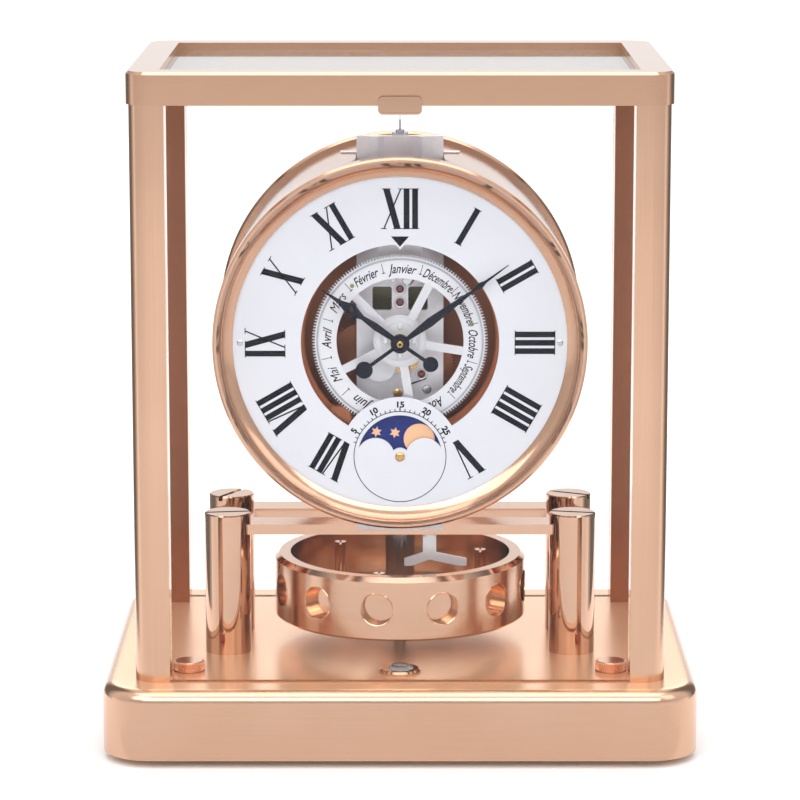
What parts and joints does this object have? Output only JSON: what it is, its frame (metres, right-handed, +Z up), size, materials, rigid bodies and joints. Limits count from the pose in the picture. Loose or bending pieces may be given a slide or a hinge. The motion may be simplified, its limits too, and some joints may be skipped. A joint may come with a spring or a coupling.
{
  "type": "moon phase desk clock",
  "caption": "Desk clock in a glazed metal cabinet, with an open dial, month ring, moon disc and a rotating balance ring under a drum on pillars.",
  "frame": {"origin": "middle of the footprint on the surface that the clock stands on", "axes": "+Z up, -Y towards the viewer of the dial, +X to the viewer's right"},
  "size_m": [0.2, 0.15, 0.231],
  "materials": {
    "polished_gold": "mirror polished rose-gold plate",
    "brushed_gold": "fine brushed rose-gold plate",
    "drum_gold": "polished rose-gold plate, brushed inside",
    "frosted_silver": "frosted rhodium plate",
    "steel": "fine brushed steel",
    "wheel_brass": "gilt brass",
    "glass": "clear polished plate glass",
    "dial_white": "satin white lacquer",
    "ring_white": "white print on silvered metal",
    "blued": "blue-black lacquered steel",
    "moon_blue": "deep blue enamel",
    "ruby": "synthetic ruby",
    "rubber": "matt foot pad",
    "bellows_metal": "thin bright brass"
  },
  "bodies": {
    "case": {"base_plinth": "polished_gold", "base_bottom_plate": "brushed_gold", "rear_foot": "rubber", "spirit_level_cup": "polished_gold", "spirit_level_glass": "glass", "post_front_left": "brushed_gold", "post_front_right": "brushed_gold", "post_rear_left": "brushed_gold", "post_rear_right": "brushed_gold", "lid_frame": "brushed_gold", "lid_glass": "glass", "left_glass": "glass", "right_glass": "glass", "rear_glass": "glass", "pillar_front_left": "polished_gold", "pillar_front_right": "polished_gold", "pillar_rear_left": "polished_gold", "pillar_rear_right": "polished_gold", "pillar_cap_screws": "polished_gold", "bridge_plate": "polished_gold", "movement_foot": "frosted_silver", "front_plate": "frosted_silver", "back_plate": "frosted_silver", "plate_spacers": "steel", "suspension_bracket": "frosted_silver", "suspension_collar": "steel", "suspension_wire": "steel", "cross_rod": "steel", "jewels": "ruby", "drum_housing": "drum_gold", "drum_spacers": "steel", "rear_cover": "drum_gold", "bellows": "bellows_metal", "bellows_spring": "steel", "bezel": "polished_gold", "dial_plate": "dial_white"},
    "door": {"front_glass": "glass", "door_tab": "brushed_gold"},
    "left_foot": {"left_foot_pad": "rubber"},
    "left_screw": {"left_levelling_screw": "polished_gold"},
    "right_foot": {"right_foot_pad": "rubber"},
    "right_screw": {"right_levelling_screw": "polished_gold"},
    "balance": {"balance_ring": "brushed_gold", "balance_hub": "steel", "balance_weights": "polished_gold"},
    "lock": {"locking_lever": "steel"},
    "minute": {"minute_hand": "blued", "centre_wheel": "wheel_brass"},
    "hour": {"hour_hand": "blued", "hour_wheel": "wheel_brass"},
    "minute_reduction": {"minute_wheel": "wheel_brass"},
    "calendar_drive": {"calendar_wheel": "steel"},
    "intermediate": {"intermediate_wheel": "wheel_brass"},
    "winding_barrel": {"barrel": "wheel_brass"},
    "escapement": {"escape_wheel": "steel"},
    "pallets": {"pallet_lever": "steel"},
    "month": {"month_ring": "ring_white"},
    "month_drive": {"month_pinion": "wheel_brass"},
    "moon": {"moon_disc": "moon_blue"},
    "pusher": {"push_plate": "steel"}
  },
  "joints": [
    {"name": "front_glass_tilt", "type": "hinge", "parent": "case", "child": "door", "pos_m": [0, -0.0626, 0.0253], "axis": [1, 0, 0], "range_deg": [0, 20]},
    {"name": "left_foot_lift", "type": "slide", "parent": "case", "child": "left_foot", "axis": [0, 0, -1], "range_m": [0, 0.002]},
    {"name": "left_screw_turn", "type": "hinge", "parent": "left_foot", "child": "left_screw", "pos_m": [-0.0717, -0.0455, 0.0275], "axis": [0, 0, -1], "range_deg": [0, 1028]},
    {"name": "right_foot_lift", "type": "slide", "parent": "case", "child": "right_foot", "axis": [0, 0, -1], "range_m": [0, 0.002]},
    {"name": "right_screw_turn", "type": "hinge", "parent": "right_foot", "child": "right_screw", "pos_m": [0.0717, -0.0455, 0.0275], "axis": [0, 0, -1], "range_deg": [0, 1028]},
    {"name": "balance_swing", "type": "hinge", "parent": "case", "child": "balance", "pos_m": [0, 0, 0.0465], "axis": [0, 0, 1], "range_deg": [-270, 270], "stiffness_Nm_per_rad": 0.0000043},
    {"name": "lock_turn", "type": "hinge", "parent": "case", "child": "lock", "pos_m": [0.0102, -0.0195, 0.068], "axis": [0, 0, 1], "range_deg": [0, 20]},
    {"name": "minute_hand_turn", "type": "hinge", "parent": "case", "child": "minute", "pos_m": [0, 0, 0.1372], "axis": [0, 1, 0], "continuous": true},
    {"name": "hour_hand_turn", "type": "hinge", "parent": "case", "child": "hour", "pos_m": [0, 0, 0.1372], "axis": [0, 1, 0], "continuous": true},
    {"name": "minute_wheel_turn", "type": "hinge", "parent": "case", "child": "minute_reduction", "pos_m": [0.00113, 0, 0.13009], "axis": [0, 1, 0], "continuous": true},
    {"name": "calendar_wheel_turn", "type": "hinge", "parent": "case", "child": "calendar_drive", "pos_m": [-0.0068, 0, 0.1279], "axis": [0, 1, 0], "continuous": true},
    {"name": "intermediate_wheel_turn", "type": "hinge", "parent": "case", "child": "intermediate", "pos_m": [0.0073, 0, 0.1242], "axis": [0, 1, 0], "continuous": true},
    {"name": "barrel_turn", "type": "hinge", "parent": "case", "child": "winding_barrel", "pos_m": [-0.0114, 0, 0.1258], "axis": [0, 1, 0], "continuous": true},
    {"name": "escape_wheel_turn", "type": "hinge", "parent": "case", "child": "escapement", "pos_m": [0, 0, 0.149], "axis": [0, 1, 0], "continuous": true},
    {"name": "pallet_rock", "type": "hinge", "parent": "case", "child": "pallets", "pos_m": [0, 0, 0.1536], "axis": [0, 1, 0], "range_deg": [-2, 2]},
    {"name": "month_ring_turn", "type": "hinge", "parent": "case", "child": "month", "pos_m": [0, 0, 0.1372], "axis": [0, 1, 0], "continuous": true},
    {"name": "month_pinion_turn", "type": "hinge", "parent": "case", "child": "month_drive", "pos_m": [-0.02145, 0, 0.10975], "axis": [0, 1, 0], "continuous": true},
    {"name": "moon_disc_turn", "type": "hinge", "parent": "case", "child": "moon", "pos_m": [0, 0, 0.098], "axis": [0, 1, 0], "continuous": true},
    {"name": "bellows_push", "type": "slide", "parent": "case", "child": "pusher", "axis": [0, -1, 0], "range_m": [0, 0.003], "stiffness_N_per_m": 3000, "deforming": ["bellows", "bellows_spring"]}
  ],
  "couplings": [
    {"joint": "hour_hand_turn", "follows": "minute_hand_turn", "ratio": 0.083333},
    {"joint": "minute_wheel_turn", "follows": "minute_hand_turn", "ratio": -0.33333},
    {"joint": "calendar_wheel_turn", "follows": "minute_hand_turn", "ratio": -0.083333},
    {"joint": "intermediate_wheel_turn", "follows": "minute_hand_turn", "ratio": -0.25},
    {"joint": "barrel_turn", "follows": "minute_hand_turn", "ratio": 0.066667},
    {"joint": "escape_wheel_turn", "follows": "minute_hand_turn", "ratio": -4},
    {"joint": "month_ring_turn", "follows": "minute_hand_turn", "ratio": 0.00011408},
    {"joint": "month_pinion_turn", "follows": "minute_hand_turn", "ratio": -0.00060394},
    {"joint": "moon_disc_turn", "follows": "minute_hand_turn", "ratio": 0.00070548},
    {"joint": "left_screw_turn", "follows": "left_foot_lift", "rad_per_m": 8976},
    {"joint": "right_screw_turn", "follows": "right_foot_lift", "rad_per_m": 8976}
  ]
}
